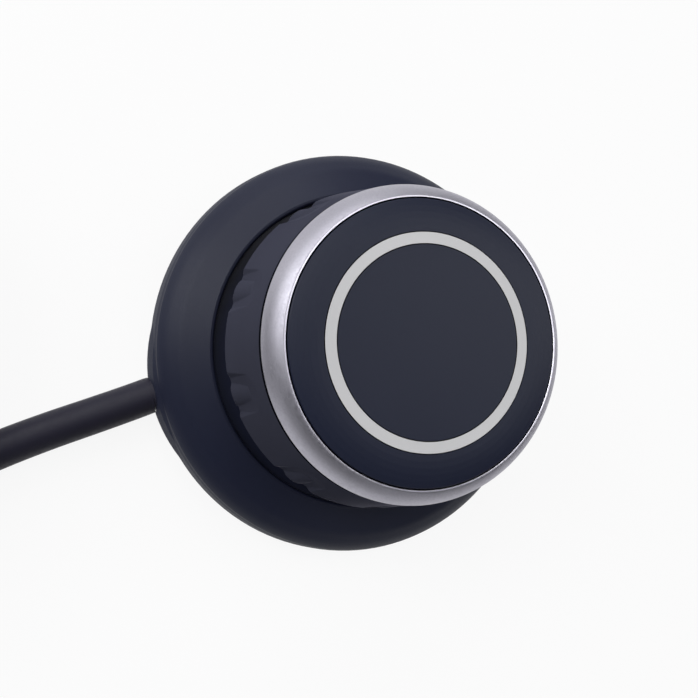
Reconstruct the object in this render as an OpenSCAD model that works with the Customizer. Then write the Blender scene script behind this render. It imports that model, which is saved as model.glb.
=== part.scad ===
// Rotary remote knob: a weighty push-and-turn dial with a lit ring, on a flared base with a cord.
// Millimetres, +Z up. The origin is on the desk under the knob's axis, and the cord leaves along +Y.

/* [Base] */
// Widest diameter of the base
base_d = 54; // [50:0.5:64]
// Height of the widest circle above the desk
base_wide_z = 3; // [2:0.1:4]
// How far the crisp upper edge of the side lies inside the widest circle
edge_inset = 0.7; // [0.3:0.1:1.5]
// Height of the narrow band under that edge
band_h = 0.8; // [0.5:0.1:1.2]
// Height of the crisp upper edge of the side
edge_z = 5.8; // [5.6:0.1:7]
// Chamfer along the lower edge of the side
side_chamfer = 0.7; // [0.3:0.1:1.2]
// Wall of the housing
wall = 1.8; // [1.2:0.1:2.4]
// Deck under the knob
deck_t = 1.3; // [1:0.1:2]
// Depth of the well that the knob's skirt runs in
well_depth = 1.2; // [0.8:0.1:2]
// Gap between the skirt and the side of the well
well_gap = 2.3; // [1.5:0.1:3]
// Rounding of the well's lip
lip_round = 0.5; // [0.3:0.1:0.8]
// Wall of the turret over the encoder
turret_wall = 1.7; // [1:0.1:2.4]
// Top of the turret, which the encoder hangs from
cap_t = 1.3; // [1:0.1:2]
// How far the side swells out over the cord
nose_out = 0.5; // [0.3:0.05:0.8]
// Radius of that swelling, seen from above
nose_r = 20; // [16:0.5:22]

/* [Cover and foot] */
// Thickness of the bottom cover
cover_t = 2; // [1.7:0.1:3]
// Gap round the cover
cover_gap = 0.25; // [0.1:0.05:0.5]
// Edge of the cover outside the rubber foot
foot_margin = 0.75; // [0.5:0.05:1.5]
// Width of the rubber foot's band
foot_w = 6.7; // [5.6:0.1:9]
// How far the foot stands below the cover
foot_proud = 0.8; // [0.5:0.1:1.5]
// Depth of the foot's groove in the cover
foot_seat = 0.4; // [0.2:0.1:0.7]

/* [Knob] */
// Height of the face above the desk
knob_top = 27; // [26:0.1:32]
// How far the skirt stands out from the sleeve above it
skirt_step = 1.6; // [1:0.1:2.2]
// Gap left under the skirt when the knob is pressed
skirt_gap = 0.4; // [0.2:0.1:0.8]
// Wall of the carrier
core_wall = 1.6; // [1.2:0.1:2]
// Wall of the hub
hub_wall = 1.95; // [1.4:0.05:2.6]
// Gap left under the hub when the knob is pressed
hub_gap = 0.5; // [0.3:0.1:1]
// Width of a spoke
spoke_w = 2.6; // [2:0.2:4]
// Depth of a spoke
spoke_h = 2.8; // [2:0.2:3.6]
// Number of spokes
spoke_count = 5; // [3:1:7]
// Travel when the knob is pressed
press_travel = 0.5; // [0.3:0.1:0.9]

/* [Grip] */
// Height of the grip
grip_h = 10.5; // [9:0.1:12]
// Grip diameter at its upper edge
grip_top_d = 34.1; // [32:0.1:37]
// Grip diameter at its lower edge
grip_low_d = 38.6; // [37.6:0.1:42]
// Wall of the grip at its upper edge
grip_wall = 1; // [0.8:0.05:1.5]
// Rounding of the grip's lower edge
grip_round = 0.7; // [0.4:0.1:1.2]
// Number of hollows round the grip
grip_groups = 10; // [6:1:14]
// Width of a hollow
hollow_w = 5.3; // [4.6:0.1:6]
// Depth of a hollow at its lower end
hollow_depth = 0.48; // [0.4:0.02:0.6]
// Height above the lower edge's rounding where a hollow has run out
hollow_len = 7.2; // [6.4:0.1:8]
// Width of a hollow's sloping side
hollow_side = 0.6; // [0.4:0.05:0.8]
// Width of the rounded lobe in a hollow, at its foot
lobe_w = 2.7; // [2:0.1:3.2]
// How far the lobe's crown lies under the grip's pads
lobe_drop = 0.03; // [0.02:0.01:0.1]
// Height of the lobe's end above the lower edge's rounding
lobe_len = 4.9; // [4:0.1:5.6]
// Turn of the grip at rest, in degrees
grip_turn = 22.8; // [0:0.2:36]

/* [Face] */
// Height of the silver trim ring
trim_h = 2.35; // [2:0.05:3]
// How far the trim ring's top lies under the face
trim_drop = 0.5; // [0.2:0.05:0.8]
// How far the trim ring stands out over the grip's upper edge
trim_over = 0.13; // [0.05:0.01:0.3]
// Width of the trim ring's seat on the sleeve's end
trim_seat = 0.8; // [0.5:0.05:1.1]
// Flat on top of the trim ring
trim_land = 0.25; // [0.15:0.05:0.5]
// Gap between the trim ring and the face
rim_gap = 0.14; // [0.06:0.01:0.2]
// Inside diameter of the light ring
light_in_d = 20.42; // [16:0.02:24]
// Width of the light ring
light_w = 1.24; // [0.8:0.02:2]
// Thickness of the face plates
face_t = 2; // [1.6:0.1:2.4]
// Fall of the outer face plate towards its edge
face_drop = 0.4; // [0.2:0.05:0.6]
// Thickness of the light ring's disc
disc_t = 0.8; // [0.6:0.1:1.2]
// Hairline gap on each side of the light ring
face_gap = 0.08; // [0.04:0.01:0.1]

/* [Encoder] */
// Side of the encoder's square body
enc_w = 12; // [11:0.1:13]
// Height of the encoder's body
enc_h = 6.5; // [6:0.1:7.5]
// Floor of the encoder's body
enc_floor = 0.7; // [0.5:0.1:1]
// Wall of the encoder's body round its rotor
enc_wall = 0.9; // [0.6:0.1:1.4]
// Wall of the encoder's bushing
bush_wall = 0.47; // [0.4:0.01:0.8]
// Length of the encoder's bushing
bush_len = 5; // [4.4:0.1:6.4]
// Diameter of the shaft
shaft_d = 6; // [5:0.1:6.6]
// Shaft measured across its flat
shaft_flat = 4.5; // [4:0.1:4.9]
// Diameter of the shaft's keyed end in the rotor
key_d = 4; // [3.4:0.1:4.6]
// Keyed end measured across its flats
key_flats = 3.2; // [2.6:0.1:3.3]
// Radial clearance of the parts that run
run_fit = 0.03; // [0.02:0.01:0.06]
// Thickness of the washer
washer_t = 0.4; // [0.3:0.05:0.8]
// Width of the washer's band
washer_w = 1.9; // [1.4:0.1:2.6]
// Thickness of the nut
nut_t = 2; // [1.6:0.1:2.6]
// Nut across its flats
nut_af = 10; // [9:0.1:12]

/* [Boards] */
// Gap between the main board and the cover's screw bosses
board_side = 0.7; // [0.4:0.1:1.5]
// Thickness of the main board
board_t = 1.5; // [1:0.1:2]
// Room under the main board
board_room = 1; // [0.9:0.1:1.8]
// Room over the main board
part_room = 1.6; // [1.3:0.1:2.4]
// Gap between the light board and the carrier
light_board_side = 1; // [0.6:0.1:1.6]
// Thickness of the light board
light_board_t = 1; // [0.8:0.1:1.6]
// Number of lamps
led_count = 8; // [4:1:12]
// Side of a lamp
led_w = 2.6; // [2:0.1:3]
// Height of a lamp
led_h = 0.9; // [0.6:0.1:1.6]

/* [Screws and fits] */
// Shank diameter of the screws
screw_d = 2; // [1.6:0.1:2.4]
// Head diameter of the screws
head_d = 3.8; // [3.4:0.1:4.2]
// Head height of the screws
head_h = 0.75; // [0.6:0.05:0.85]
// Length of the cover's screws under the head
cover_screw_len = 4; // [3:0.1:4.4]
// Length of the board's screws under the head
board_screw_len = 3.6; // [3:0.1:4]
// Diameter of a screw boss
boss_d = 4.6; // [4:0.1:5.4]
// Radial clearance of pieces that are pushed together
push_fit = 0.05; // [0.03:0.01:0.1]

/* [Cord] */
// Diameter of the cord
cord_d = 4.5; // [3.6:0.1:4.8]
// Height of the cord's underside above the desk where it leaves the base
cord_lift = 0.25; // [0.2:0.05:0.4]
// Wall of the gland's neck round the cord
neck_wall = 0.1; // [0.1:0.05:0.25]
// Width of the gland's block inside the base
gland_w = 8.8; // [7:0.2:10]
// Depth of the gland's block inside the base
gland_l = 3; // [2.2:0.1:3.8]
// Diameter of a wire in the cord
wire_d = 0.8; // [0.5:0.05:0.85]
// Coil diameter at the middle of its turns
coil_mid_d = 54; // [48:1:62]
// Turns in each layer of the coil
coil_turns = 4; // [3:1:5]
// Gap between turns and between layers
coil_gap = 0.5; // [0.45:0.05:1]
// Width of the coil's tie
tie_w = 7; // [4:0.5:10]
// Thickness of the coil's tie
tie_t = 0.5; // [0.4:0.1:0.8]

/* [Plug] */
// Length of the plug's grip
plug_l = 25; // [20:1:28]
// Width of the plug's grip
plug_w = 15.4; // [14:0.2:18]
// Height of the plug's grip
plug_h = 8; // [7:0.2:10]
// Length of the plug's strain relief
relief_l = 9; // [6:0.5:11]
// Length of the plug's metal shell
shell_l = 12; // [10.6:0.2:13]
// Width of the plug's metal shell
shell_w = 12; // [11:0.1:13]
// Height of the plug's metal shell
shell_h = 4.5; // [4:0.1:5]
// Wall of the plug's metal shell
shell_t = 0.3; // [0.2:0.05:0.4]

/* [Hidden] */
$fn = 96;
eps = 0.5;

// Colours, as the photo shows them
plastic_black = [0.19, 0.20, 0.23];
grip_grey = [0.23, 0.24, 0.27];
face_black = [0.20, 0.21, 0.24];
silver = [0.75, 0.75, 0.79];
lamp_white = [0.82, 0.82, 0.83];
rubber_black = [0.10, 0.10, 0.11];
cord_black = [0.17, 0.17, 0.19];
board_green = [0.08, 0.30, 0.18];
steel = [0.70, 0.71, 0.73];
brass = [0.80, 0.68, 0.38];
chip_black = [0.12, 0.12, 0.13];

// Heights, from the desk up
cover_top = foot_proud + cover_t;
foot_top = foot_proud + foot_seat;
board_z = cover_top + board_room;
board_top = board_z + board_t;
deck_low = board_top + part_room;
deck_top = deck_low + deck_t;
lip_z = deck_top + well_depth;
enc_top = board_top + enc_h;
cap_top = enc_top + cap_t;
light_board_top = cap_top + light_board_t;
washer_top = light_board_top + washer_t;
nut_top = washer_top + nut_t;
bush_top = enc_top + bush_len;
hub_low = max(bush_top, nut_top) + press_travel + hub_gap;
trim_top = knob_top - trim_drop;
grip_top = trim_top - trim_h;
grip_low = grip_top - grip_h;
plate_low = knob_top - face_t;
web_top = plate_low - disc_t;
skirt_low = deck_top + press_travel + skirt_gap;
sleeve_top = plate_low - 0.1;

// Radii, from the grip in to the well and from the base's side in to the foot
base_r = base_d / 2;
edge_r = base_r - edge_inset;
grip_top_r = grip_top_d / 2;
grip_low_r = grip_low_d / 2;
sleeve_r = grip_top_r - grip_wall - push_fit;
skirt_r = sleeve_r + skirt_step;
well_r = skirt_r + well_gap;
enc_corner_r = enc_w / 2 * sqrt(2);
turret_in_r = enc_corner_r + 0.3;
turret_r = turret_in_r + turret_wall;
shaft_r = shaft_d / 2;
bush_r = shaft_r + run_fit + bush_wall;
cavity_r = base_r - wall;
cavity_z = edge_z - wall * 0.65;
cover_r = cavity_r - cover_gap;
foot_r = cover_r - foot_margin;

// Places of screws, from the axis
cover_screw_r = foot_r - head_d / 2 - 0.8;
cover_screw_angles = [-90, 30, 150];
board_r = cover_screw_r - boss_d / 2 - board_side;
board_screw_r = board_r - boss_d / 2 - 0.7;
board_screw_angles = [45, 135, 270];

// A curve from p0 to p2 that leaves and arrives along the lines through p1
function bend(p0, p1, p2, steps) =
    [for (i = [0:steps]) let (t = i / steps) (1 - t) ^ 2 * p0 + 2 * t * (1 - t) * p1 + t ^ 2 * p2];

// A point on the housing's top: its share of the way in from the crisp edge to the well's lip, and up
lip_r = well_r + lip_round;
function top_point(way_in, way_up) =
    [edge_r - way_in * (edge_r - lip_r), edge_z + way_up * (lip_z - edge_z)];

// Half section of the housing, from the lower edge of the side over the well and turret and back inside
housing_section = concat(
    [
        [base_r - side_chamfer, foot_proud],
        [base_r - 0.1, foot_proud + side_chamfer],
        [base_r, base_wide_z],
        [edge_r + edge_inset * 0.45, edge_z - band_h]
    ],
    bend(top_point(0, 0), top_point(0.09, 0.2), top_point(0.24, 0.37), 6),
    bend(top_point(0.35, 0.494), top_point(0.42, 0.573), top_point(0.5, 0.632), 4),
    [top_point(1, 1)],
    bend([lip_r - 0.05, lip_z], [well_r, lip_z], [well_r, lip_z - lip_round], 4),
    [
        [well_r, deck_top],
        [turret_r, deck_top],
        [turret_r, cap_top],
        [bush_r + 0.1, cap_top],
        [bush_r + 0.1, enc_top],
        [turret_in_r, enc_top],
        [turret_in_r, deck_low],
        [well_r, deck_low],
        [cavity_r, cavity_z],
        [cavity_r, foot_proud]
    ]
);

// Half section of the carrier: skirt, shoulder under the grip, sleeve and the seat of the light disc
trim_in_r = sleeve_r - trim_seat;
plate_r = trim_in_r - rim_gap;
core_section = [
    [skirt_r - core_wall, skirt_low],
    [skirt_r, skirt_low],
    [skirt_r, grip_low],
    [sleeve_r, grip_low],
    [sleeve_r, sleeve_top],
    [trim_in_r, sleeve_top],
    [trim_in_r, web_top],
    [sleeve_r - core_wall, web_top],
    [sleeve_r - core_wall, grip_low],
    [skirt_r - core_wall, grip_low - core_wall]
];

// Half section of the grip, which flares towards its lower edge
grip_bore_r = sleeve_r + push_fit;
grip_section = concat(
    [[grip_bore_r, grip_low]],
    bend(
        [grip_low_r - grip_round, grip_low],
        [grip_low_r, grip_low],
        [grip_low_r, grip_low + grip_round],
        5
    ),
    [
        [grip_top_r + 0.1, grip_top - 0.2],
        [grip_top_r - 0.1, grip_top],
        [grip_bore_r, grip_top]
    ]
);
grip_slope = atan2(grip_low_r - grip_top_r - 0.1, grip_h - grip_round - 0.2);

// A hollow's floor leans out until it meets the pads, and its lobe is round enough to be lobe_w wide at the floor
hollow_lean = atan2(hollow_depth, hollow_len);
lobe_h = hollow_depth - lobe_drop;
lobe_r = (lobe_h ^ 2 + (lobe_w / 2) ^ 2) / (2 * lobe_h);

// Half section of the trim ring, a rounded shoulder over the sleeve's end and the grip's top
trim_r = grip_top_r + trim_over;
trim_section = concat(
    bend([trim_r, grip_top], [trim_r - 0.41, trim_top - 0.84], [trim_in_r + trim_land, trim_top], 12),
    [
        [trim_in_r, trim_top],
        [trim_in_r, sleeve_top],
        [sleeve_r + push_fit, sleeve_top],
        [sleeve_r + push_fit, grip_top]
    ]
);

// Half sections of the face
light_in_r = light_in_d / 2;
light_out_r = light_in_r + light_w;
light_section = [
    [0, web_top],
    [plate_r, web_top],
    [plate_r, plate_low],
    [light_out_r, plate_low],
    [light_out_r, knob_top],
    [light_in_r, knob_top],
    [light_in_r, plate_low],
    [0, plate_low]
];
rim_in_r = light_out_r + face_gap;
rim_section = concat(
    [[rim_in_r, plate_low], [plate_r, plate_low], [plate_r, knob_top - face_drop - 0.1]],
    bend(
        [plate_r - 0.1, knob_top - face_drop],
        [(rim_in_r + plate_r) / 2, knob_top],
        [rim_in_r, knob_top],
        5
    )
);

// Inside of the encoder
enc_split = enc_top - 2.6;
enc_cavity_r = enc_w / 2 - enc_wall;
rotor_r = enc_cavity_r - 0.1;
dome_z = board_top + enc_floor;
dome_h = press_travel;
dome_r = 2.4;
shaft_low = dome_z + dome_h + 0.05;
rotor_low = dome_z + dome_h + 1.1;
rotor_top = enc_top - 1.15;
case_roof = rotor_top + 0.1;
shoulder_z = rotor_top + press_travel + 0.15;
shaft_top = web_top - 0.9;
spoke_drop = 0.3;
flat_low = hub_low - 0.7;
hub_r = shaft_r + push_fit + hub_wall;
lug_t = 0.3;
lug_w = 2;
pin_y = enc_w / 2 + 1.3;
pin_w = 0.9;
pin_t = 0.3;
pin_low = board_z - 0.7;
coder_pins = [-2.5, 0, 2.5];
switch_pins = [-2.5, 2.5];
link_x = enc_w / 2 + lug_t + 1.15;
link_pitch = 1.27;
link_pin = 0.5;
link_count = 4;
link_gap = 0.15;
link_top = light_board_top + 0.5;
light_board_r = sleeve_r - core_wall - light_board_side;
led_r = (light_in_r + light_out_r) / 2 + 0.5;

// Parts round the turret on the main board, clear of the bosses: angle, depth, width and height
parts_r = (2 * turret_in_r + board_r) / 3;
small_parts = [
    [20, 1.25, 2, 0.9],
    [4, 1.25, 2, 0.9],
    [-14, 2.5, 3.2, 0.8],
    [-36, 1.6, 2.9, 1.1],
    [-58, 0.8, 1.6, 0.6],
    [76, 0.8, 1.6, 0.6],
    [102, 2.4, 2.9, 1.1],
    [206, 0.8, 1.6, 0.6],
    [220, 0.8, 1.6, 0.6],
    [238, 1.25, 2, 0.9]
];
chip_x = -(turret_in_r + board_r) / 2;
chip_w = 5;
chip_h = 0.9;

// Cord: where it leaves the gland, and the points that it follows to the coil, chosen for a loose curve:
// sideways, out from the gland's face, and the height of its underside above the desk
cord_r = cord_d / 2;
cord_z = cord_r + cord_lift;
neck_r = cord_r + neck_wall;
gland_face = base_r + nose_out - 0.3;
gland_out = cavity_r - 0.8;
gland_in = gland_out - gland_l;
gland_low = foot_top + 0.05;
gland_high = cavity_z - 0.1;
wire_z = board_z - wire_d / 2;
wire_pitch = 1.4;
wire_count = 4;
wire_end = board_r - 4;
lead_points = [
    [0, 0.5, cord_lift],
    [-0.2, 1.8, 0.25],
    [-0.55, 4.3, 0.22],
    [-1, 7.8, 0.17],
    [-1.5, 11.8, 0.12],
    [-2.1, 15.8, 0.1],
    [-2.85, 19.8, 0.12],
    [-3.9, 23.8, 0.2],
    [-5.3, 27.8, 0.35]
];

// Coil: a spiral in on the desk, a climb, a spiral out on top, a second climb and a bend in to the plug
coil_x = 20;
coil_y = gland_face + 57.8;
coil_start = 215;
coil_pitch = cord_d + coil_gap;
coil_in_r = coil_mid_d / 2 - coil_pitch * coil_turns / 2;
coil_z = tie_t + 0.05 + cord_r;
coil_rings = 24;
coil_end = 2 * coil_turns + 0.25;
coil_top = coil_z + coil_pitch + cord_r;
tail_r = 20;
tail_turn = 90;
tail_rings = 8;
plug_z = coil_top + 0.3 + plug_h / 2;

function smooth(t) = let (u = min(1, max(0, t))) u * u * (3 - 2 * u);
function coil_radius(s) =
    coil_in_r + coil_pitch * (s < 2 * coil_turns ? abs(s - coil_turns) : 3 * coil_turns - s);
function coil_height(s) =
    coil_z + coil_pitch * (
        smooth((s - coil_turns) * 2 + 0.5) + smooth((s - 2 * coil_turns) * 2 + 0.5)
    );
function coil_angle(s) = coil_start - 360 * s;
function coil_point(s) =
    let (a = coil_angle(s), r = coil_radius(s))
    [coil_x + r * cos(a), coil_y + r * sin(a), coil_height(s)];
function heading(a) = [cos(a), sin(a), 0];

// The tail bends in at tail_r from where the spiral ends, and rises to the plug's axis
tail_from = coil_point(coil_end);
tail_heading = coil_angle(coil_end) - 90;
tail_centre = tail_from + tail_r * heading(tail_heading - 90);
function tail_point(t) =
    let (a = tail_heading + 90 - tail_turn * t)
    [
        tail_centre[0] + tail_r * cos(a),
        tail_centre[1] + tail_r * sin(a),
        tail_from[2] + (plug_z - tail_from[2]) * smooth(t)
    ];
plug_angle = tail_heading - tail_turn;
plug_at = tail_point(1) + cord_d * heading(plug_angle);
coil_first = coil_point(0) - cord_d * heading(coil_start - 90);
spiral = [for (i = [0:coil_end * coil_rings]) coil_point(i / coil_rings)];
tail = [for (i = [1:tail_rings]) tail_point(i / tail_rings)];
coil_path = concat([coil_first], spiral, tail, [plug_at]);
lead_path = concat(
    [[0, gland_face, cord_z]],
    [for (p = lead_points) [p[0], gland_face + p[1], cord_r + p[2]]],
    [coil_first]
);

// Length of the whole cord and the least gap between the coil's turns, measured on the points
function path_length(p) = [for (i = [1:len(p) - 1]) norm(p[i] - p[i - 1])] * [for (i = [1:len(p) - 1]) 1];
far_apart = 14;
turn_gap = min([
    for (i = [0:len(coil_path) - far_apart - 1])
        for (j = [i + far_apart:len(coil_path) - 1])
            norm(coil_path[i] - coil_path[j])
]) - cord_d;
echo(cord_length = path_length(lead_path) + path_length(coil_path), coil_gap_to_itself = turn_gap);

// Direction of a path at one of its points
function along(p, i) =
    let (d = p[min(i + 1, len(p) - 1)] - p[max(i - 1, 0)]) d / norm(d);

// One ring of a tube at a point, square to a direction
function tube_ring(at, t, r, sides) =
    let (
        side = cross([0, 0, 1], t) / norm(cross([0, 0, 1], t)),
        rise = cross(t, side)
    )
    [for (k = [0:sides - 1]) let (a = 360 * (k + 0.5) / sides) at + r * (cos(a) * side + sin(a) * rise)];

// A closed tube of triangles along a path, whose last ring is square to the direction that it ends in
module tube(p, r, sides, ends_along) {
    last = len(p) - 1;
    points = [for (i = [0:last]) each tube_ring(p[i], i == last ? ends_along : along(p, i), r, sides)];
    walls = [
        for (i = [0:last - 1])
            for (k = [0:sides - 1])
                let (a = i * sides + k, b = i * sides + (k + 1) % sides)
                each [[a, a + sides, b], [b, a + sides, b + sides]]
    ];
    ends = [
        for (k = [1:sides - 2])
            each [[0, k, k + 1], [last * sides, last * sides + k + 1, last * sides + k]]
    ];
    polyhedron(points, concat(walls, ends));
}

// A flat ring between two radii
module flat_ring(inner, outer, low, high) {
    rotate_extrude() polygon([[inner, low], [outer, low], [outer, high], [inner, high]]);
}

// An upright box, centred in plan
module block(x, y, w, l, low, high) {
    translate([x - w / 2, y - l / 2, low]) cube([w, l, high - low]);
}

// A bar along +X with a rounded section, centred on its axis
module rounded_bar(l, w, h, r) {
    translate([0, -w / 2 + r, -h / 2]) cube([l, w - 2 * r, h]);
    translate([0, -w / 2, -h / 2 + r]) cube([l, w, h - 2 * r]);
    for (y = [-1, 1])
        for (z = [-1, 1])
            translate([0, y * (w / 2 - r), z * (h / 2 - r)])
                rotate([0, 90, 0]) cylinder(r = r, h = l, $fn = 32);
}

// A round bar with one flat, for the shaft and its bore
module d_bar(r, flat, low, high) {
    difference() {
        translate([0, 0, low]) cylinder(r = r, h = high - low);
        translate([-r - eps, flat, low - eps]) cube([2 * r + 2 * eps, 2 * r, high - low + 2 * eps]);
    }
}

// A round bar with two flats, for the shaft's key and its bore
module key_bar(r, half, low, high) {
    difference() {
        translate([0, 0, low]) cylinder(r = r, h = high - low);
        for (s = [-1, 1])
            translate([-r - eps, s * (half + r) - r, low - eps])
                cube([2 * r + 2 * eps, 2 * r, high - low + 2 * eps]);
    }
}

// A pan-head screw that points up, with a cross recess in its head
module screw(x, y, head_low, len) {
    slot_w = 0.5;
    slot_l = 2;
    slot_h = 0.4;
    translate([x, y, head_low]) difference() {
        union() {
            cylinder(d = head_d, h = head_h);
            cylinder(d = screw_d, h = head_h + len);
        }
        for (a = [0, 90])
            rotate([0, 0, a])
                translate([-slot_l / 2, -slot_w / 2, -eps]) cube([slot_l, slot_w, slot_h + eps]);
    }
}

// Copies round the axis at given angles and distance
module at_angles(angles, r) {
    for (a = angles) rotate([0, 0, a]) translate([r, 0, 0]) children();
}

// Crescent on the side of the base that hoods the cord where it leaves
module cord_nose() {
    low = foot_proud + side_chamfer + 0.1;
    high = edge_z - band_h;
    difference() {
        translate([0, base_r + nose_out - nose_r, 0]) rotate_extrude() polygon([
            [0, low],
            [nose_r - 0.1, low],
            [nose_r, base_wide_z],
            [nose_r - 0.05, base_wide_z + 0.6],
            [nose_r - nose_out * 1.2, high],
            [nose_r - edge_inset - nose_out - 0.05, edge_z],
            [0, edge_z]
        ]);
        cylinder(r = (cavity_r + edge_r) / 2, h = edge_z + eps);
    }
}

// Slot for the cord in the side of the base, open at the lower edge
module cord_port(r) {
    l = base_r + nose_out - gland_out + 2 * eps;
    translate([0, gland_out - eps, cord_z]) rotate([-90, 0, 0]) cylinder(r = r, h = l);
    translate([-r, gland_out - eps, -eps]) cube([2 * r, l, cord_z + eps]);
}

// Row of the light link's pins, as a slot or as the pins themselves
link_l = (link_count - 1) * link_pitch + link_pin;
module link_slot(low, high) {
    block(link_x, 0, link_pin + 2 * link_gap, link_l + 2 * link_gap, low - eps, high + eps);
}

// Flared housing with the knob's well, the turret over the encoder and its screw bosses
module base_housing() {
    cover_hole = head_h + cover_screw_len + 0.3;
    color(plastic_black) difference() {
        union() {
            rotate_extrude() polygon(housing_section);
            cord_nose();
            at_angles(cover_screw_angles, cover_screw_r)
                translate([0, 0, cover_top]) cylinder(d = boss_d, h = deck_low - cover_top);
            at_angles(board_screw_angles, board_screw_r)
                translate([0, 0, board_top]) cylinder(d = boss_d, h = part_room + deck_t / 2);
        }
        at_angles(cover_screw_angles, cover_screw_r)
            translate([0, 0, foot_top]) cylinder(d = screw_d + 2 * push_fit, h = cover_hole);
        at_angles(board_screw_angles, board_screw_r)
            translate([0, 0, board_z]) cylinder(d = screw_d + 2 * push_fit, h = board_screw_len + 0.2);
        cord_port(neck_r + push_fit);
        link_slot(enc_top, cap_top);
    }
}

// Bottom cover, with the foot's groove, screw seats and a notch for the gland
module base_cover() {
    notch_l = 2 * (base_r - gland_in + push_fit);
    color(plastic_black) difference() {
        translate([0, 0, foot_proud]) cylinder(r = cover_r, h = cover_t);
        flat_ring(foot_r - foot_w - push_fit, foot_r + push_fit, foot_proud - eps, foot_top);
        at_angles(cover_screw_angles, cover_screw_r) {
            translate([0, 0, foot_proud]) cylinder(d = screw_d + 2 * push_fit + 0.2, h = cover_t + eps);
            translate([0, 0, foot_proud]) cylinder(d = head_d + 0.3, h = foot_seat + head_h);
        }
        block(0, base_r, gland_w + 2 * push_fit, notch_l, foot_proud - eps, cover_top + eps);
    }
}

// Soft ring that the base stands on, over the screws
module foot_ring() {
    color(rubber_black) flat_ring(foot_r - foot_w, foot_r, 0, foot_top);
}

module cover_screws() {
    color(steel) at_angles(cover_screw_angles, cover_screw_r) screw(0, 0, foot_top, cover_screw_len);
}

// Round board with the encoder's and the link's holes
module main_board() {
    slack = 0.2;
    color(board_green) difference() {
        translate([0, 0, board_z]) cylinder(r = board_r, h = board_t);
        at_angles(board_screw_angles, board_screw_r)
            translate([0, 0, board_z - eps])
                cylinder(d = screw_d + 2 * push_fit + 0.1, h = board_t + 2 * eps);
        for (x = coder_pins)
            block(x, -pin_y, pin_w + slack, pin_t + slack, board_z - eps, board_top + eps);
        for (x = switch_pins)
            block(x, pin_y, pin_w + slack, pin_t + slack, board_z - eps, board_top + eps);
        for (s = [-1, 1])
            block(s * (enc_w + lug_t) / 2, 0, lug_t + slack, lug_w + slack, board_z - eps, board_top + eps);
        link_slot(board_z, board_top);
    }
}

module board_screws() {
    color(steel) at_angles(board_screw_angles, board_screw_r)
        screw(0, 0, board_z - head_h, board_screw_len);
}

module control_chip() {
    color(chip_black) block(chip_x, 0, chip_w, chip_w, board_top, board_top + chip_h);
}

// Capacitors, resistors, crystal and regulator
module board_parts() {
    color(brass) for (p = small_parts)
        rotate([0, 0, p[0]]) block(parts_r, 0, p[1], p[2], board_top, board_top + p[3]);
}

// Plastic body of the encoder: a stepped well for the dome and the rotor
module encoder_base() {
    color(chip_black) difference() {
        block(0, 0, enc_w, enc_w, board_top, enc_split);
        translate([0, 0, dome_z]) cylinder(r = dome_r + 0.2, h = enc_split);
        translate([0, 0, rotor_low - 0.05]) cylinder(r = enc_cavity_r, h = enc_split);
    }
}

// Metal top of the encoder, with its bushing and two lugs through the board
module encoder_case() {
    color(steel) difference() {
        union() {
            block(0, 0, enc_w, enc_w, enc_split, enc_top);
            translate([0, 0, enc_top - eps]) cylinder(r = bush_r, h = bush_len + eps);
            for (s = [-1, 1])
                block(s * (enc_w + lug_t) / 2, 0, lug_t, lug_w, pin_low, enc_top - 0.4);
        }
        translate([0, 0, enc_split - eps]) cylinder(r = enc_cavity_r, h = case_roof - enc_split + eps);
        translate([0, 0, enc_split]) cylinder(r = shaft_r + run_fit, h = bush_top);
    }
}

// Terminals: three for the coder, two for the switch
module encoder_pins() {
    foot_z = board_top + 0.6;
    color(brass) for (s = [-1, 1]) for (x = s < 0 ? coder_pins : switch_pins) {
        block(x, s * pin_y, pin_w, pin_t, pin_low, foot_z + pin_t);
        block(x, s * (pin_y + enc_w / 2) / 2, pin_w, pin_y - enc_w / 2, foot_z, foot_z + pin_t);
    }
}

// Snap dome under the shaft
module switch_dome() {
    dome_t = 0.12;
    crown = dome_z + dome_h;
    roof = crown - dome_t;
    outer = bend([0, crown], [dome_r * 0.6, crown], [dome_r, dome_z + dome_t], 6);
    inner = bend([dome_r - 0.3, dome_z], [dome_r * 0.5, roof], [0, roof], 6);
    color(steel) rotate_extrude() polygon(concat(outer, [[dome_r, dome_z]], inner));
}

module encoder_washer() {
    color(steel) flat_ring(bush_r + 0.1, bush_r + 0.1 + washer_w, light_board_top, washer_top);
}

module encoder_nut() {
    color(brass) difference() {
        translate([0, 0, washer_top]) cylinder(d = nut_af / cos(30), h = nut_t, $fn = 6);
        translate([0, 0, washer_top - eps]) cylinder(r = bush_r + push_fit, h = nut_t + 2 * eps);
    }
}

// Pins that carry the lamps' current from board to board, in their spacer
module light_link() {
    spacer_w = 1.3;
    spacer_h = 1.8;
    color(brass) {
        block(link_x, 0, spacer_w, link_l + 0.6, board_top, board_top + spacer_h);
        for (i = [0:link_count - 1])
            block(link_x, (i - (link_count - 1) / 2) * link_pitch, link_pin, link_pin, pin_low, link_top);
    }
}

// Round board on the turret, held by the encoder's nut
module light_board() {
    color(board_green) difference() {
        flat_ring(bush_r + 0.1, light_board_r, cap_top, light_board_top);
        link_slot(cap_top, light_board_top);
    }
}

module light_leds() {
    color(lamp_white) at_angles([for (i = [0:led_count - 1]) (i + 0.5) * 360 / led_count], led_r)
        block(0, 0, led_w, led_w, light_board_top, light_board_top + led_h);
}

// Coder disc that the shaft's key turns
module encoder_rotor() {
    color(lamp_white) difference() {
        translate([0, 0, rotor_low]) cylinder(r = rotor_r, h = rotor_top - rotor_low);
        key_bar(key_d / 2 + run_fit, key_flats / 2 + run_fit, rotor_low - eps, rotor_top + eps);
    }
}

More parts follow.
